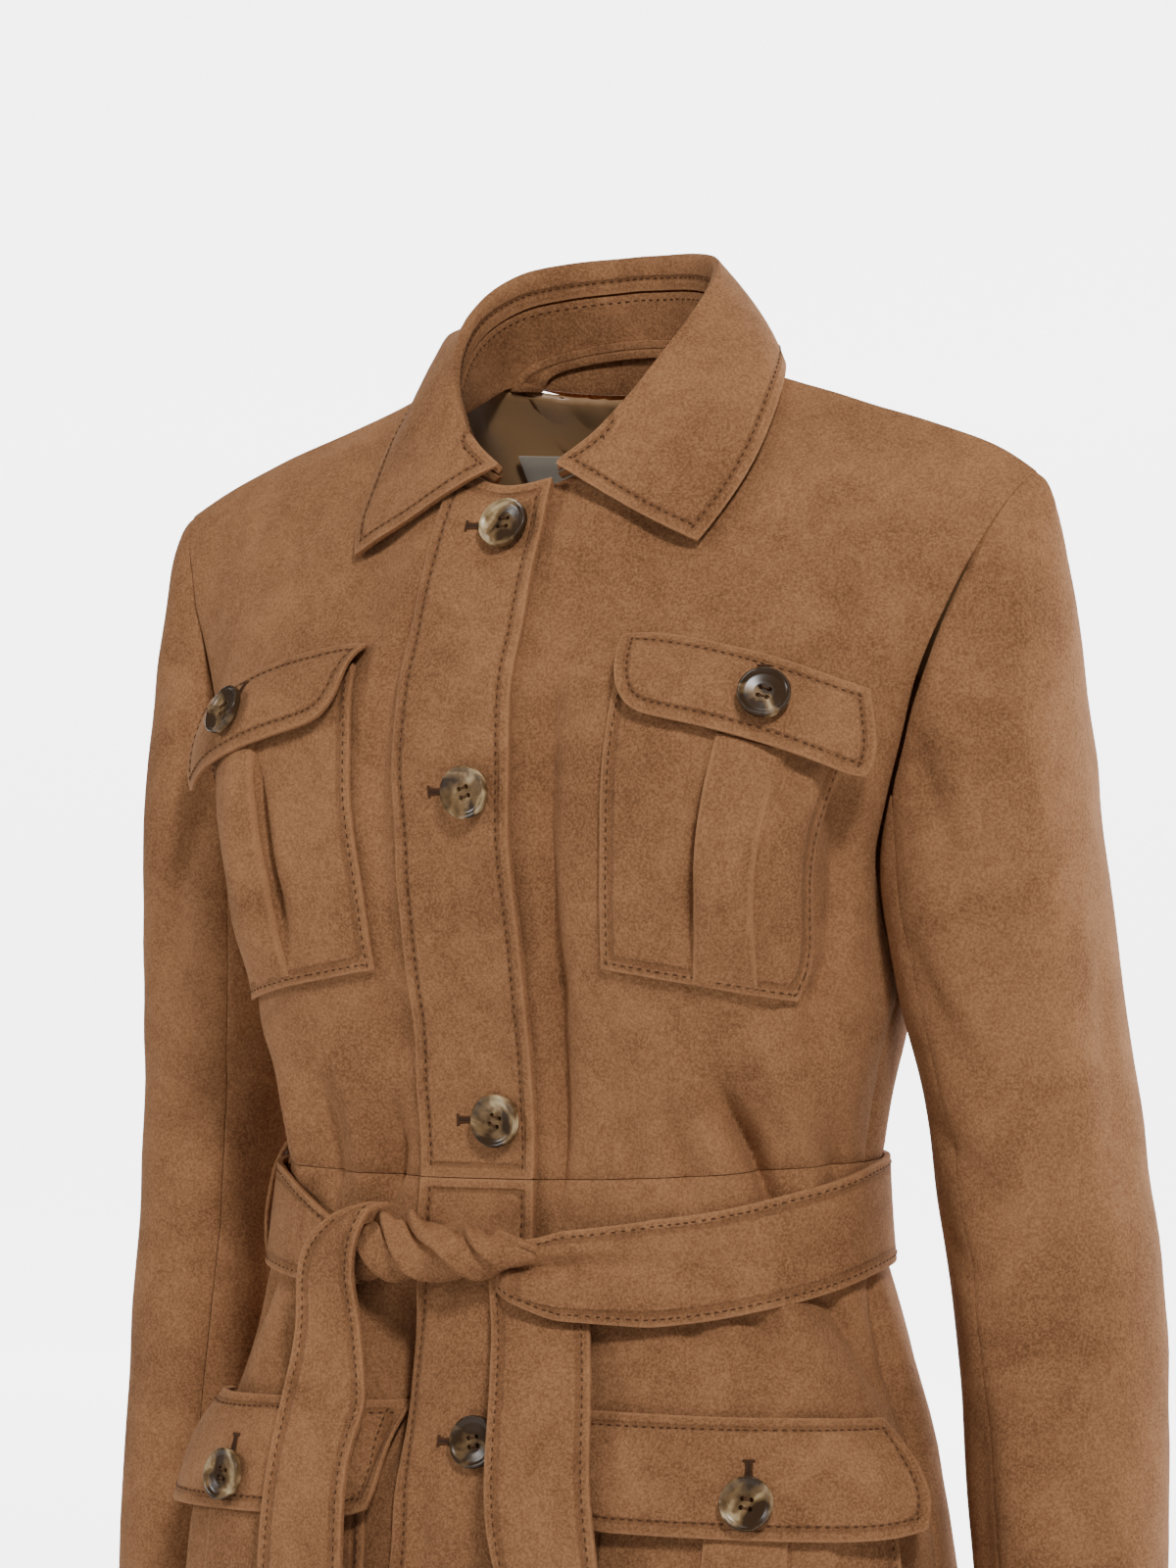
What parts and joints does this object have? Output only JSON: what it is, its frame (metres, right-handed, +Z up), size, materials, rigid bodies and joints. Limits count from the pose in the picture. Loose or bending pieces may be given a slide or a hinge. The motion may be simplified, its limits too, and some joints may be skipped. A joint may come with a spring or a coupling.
{
  "type": "leather jacket",
  "caption": "Belted suede jacket in its worn shape with nobody in it: point collar, buttoned front, four flap pockets, long sleeves and a knotted belt.",
  "frame": {"origin": "midway between the two shoulder points, at their height, where the wearer's shoulders carry the jacket", "axes": "+X towards the wearer's left, -Y the way the front faces, +Z up along the hanging jacket"},
  "size_m": [0.5217, 0.2367, 0.7507],
  "materials": {
    "suede": "soft napped",
    "horn": "polished, marbled",
    "satin_lining": "satin",
    "woven_tape": "matt"
  },
  "bodies": {
    "root": {"back_lower": "suede", "back_upper": "suede", "belt_band": "suede", "belt_knot": "suede", "belt_loop_left": "suede", "belt_loop_right": "suede", "belt_tail_left": "suede", "belt_tail_right": "suede", "chest_flap_left": "suede", "chest_flap_right": "suede", "chest_pocket_left": "suede", "chest_pocket_right": "suede", "collar_leaf": "suede", "collar_stand": "suede", "front_left_lower": "suede", "front_left_upper": "suede", "front_right_lower": "suede", "front_right_upper": "suede", "hanger_loop": "suede", "hip_flap_left": "suede", "hip_flap_right": "suede", "hip_pocket_left": "suede", "hip_pocket_right": "suede", "placket_lower": "suede", "placket_upper": "suede", "sleeve_left_under": "suede", "sleeve_left_upper": "suede", "sleeve_right_under": "suede", "sleeve_right_upper": "suede", "button_chest_left": "horn", "button_chest_right": "horn", "button_front_1": "horn", "button_front_2": "horn", "button_front_3": "horn", "button_front_4": "horn", "button_front_5": "horn", "button_hip_left": "horn", "button_hip_right": "horn", "lining_back": "satin_lining", "neck_label": "woven_tape"}
  },
  "joints": []
}
